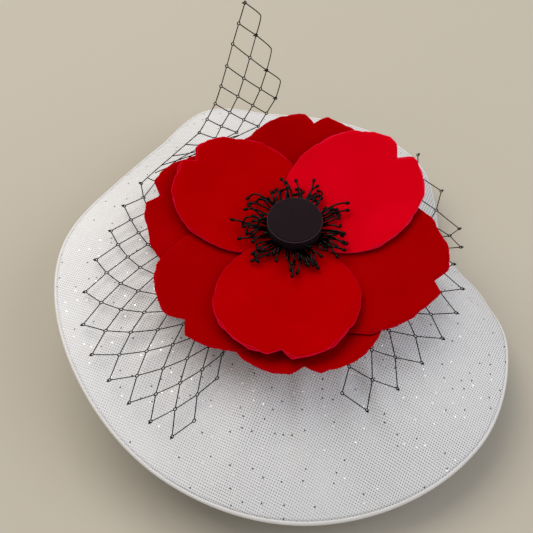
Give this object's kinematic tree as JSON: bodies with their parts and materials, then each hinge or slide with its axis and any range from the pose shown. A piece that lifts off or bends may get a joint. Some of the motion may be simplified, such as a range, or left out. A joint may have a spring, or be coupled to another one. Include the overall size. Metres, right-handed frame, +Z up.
{
  "type": "fascinator headpiece",
  "caption": "Fascinator with a wavy open-weave saucer brim, a layered fabric poppy with a button eye and stamens, cut dark net, and a hair comb on a small cap.",
  "frame": {"origin": "crown of the lining, where the hat meets the top of the head", "axes": "+Z straight up out of the head through the flower's centre, -Y towards the wearer's face, +X towards the right of a person looking at the front"},
  "size_m": [0.2773, 0.3021, 0.1916],
  "materials": {
    "poppy_crepe": "matte stiffened crepe, faint weave, clean-cut edges",
    "sinamay": "open plain-weave sinamay with fine glitter, slightly see-through",
    "sinamay_hem": "folded bias strip of the same sinamay",
    "millinery_wire": "cotton-wrapped steel wire",
    "buckram": "stiffened blocked weave",
    "lining_cotton": "plain cotton lining",
    "petersham": "ribbed ribbon",
    "comb_plastic": "clear moulded plastic",
    "sewing_thread": "polyester thread",
    "backing_felt": "dark felt",
    "stamen_lacquer": "lacquered thread with glossy bead heads",
    "button_cloth": "fine dark aubergine cloth",
    "button_aluminium": "pressed sheet",
    "button_steel": "pressed sheet with a wire shank",
    "veil_net": "open knotted net of dark thread"
  },
  "bodies": {
    "root": {"base_cap": "buckram", "base_lining": "lining_cotton", "brim_hem": "sinamay_hem", "brim_top_ply": "sinamay", "brim_under_ply": "sinamay", "brim_wire": "millinery_wire", "button_back": "button_steel", "button_cover": "button_cloth", "button_shell": "button_aluminium", "comb_stitches": "sewing_thread", "eye_disc": "backing_felt", "flower_backing": "backing_felt", "hair_comb": "comb_plastic", "headsize_ribbon": "petersham", "petal_back_bottom_top": "poppy_crepe", "petal_back_bottom_under": "poppy_crepe", "petal_back_left_top": "poppy_crepe", "petal_back_left_under": "poppy_crepe", "petal_back_lower_left_top": "poppy_crepe", "petal_back_lower_left_under": "poppy_crepe", "petal_back_right_top": "poppy_crepe", "petal_back_right_under": "poppy_crepe", "petal_back_top_top": "poppy_crepe", "petal_back_top_under": "poppy_crepe", "petal_front_bottom_top": "poppy_crepe", "petal_front_bottom_under": "poppy_crepe", "petal_front_left_top": "poppy_crepe", "petal_front_left_under": "poppy_crepe", "petal_front_right_top": "poppy_crepe", "petal_front_right_under": "poppy_crepe", "stamens_back": "stamen_lacquer", "stamens_front": "stamen_lacquer", "stamens_left": "stamen_lacquer", "stamens_right": "stamen_lacquer", "veil_left": "veil_net", "veil_right": "veil_net", "veil_standing": "veil_net"}
  },
  "joints": []
}
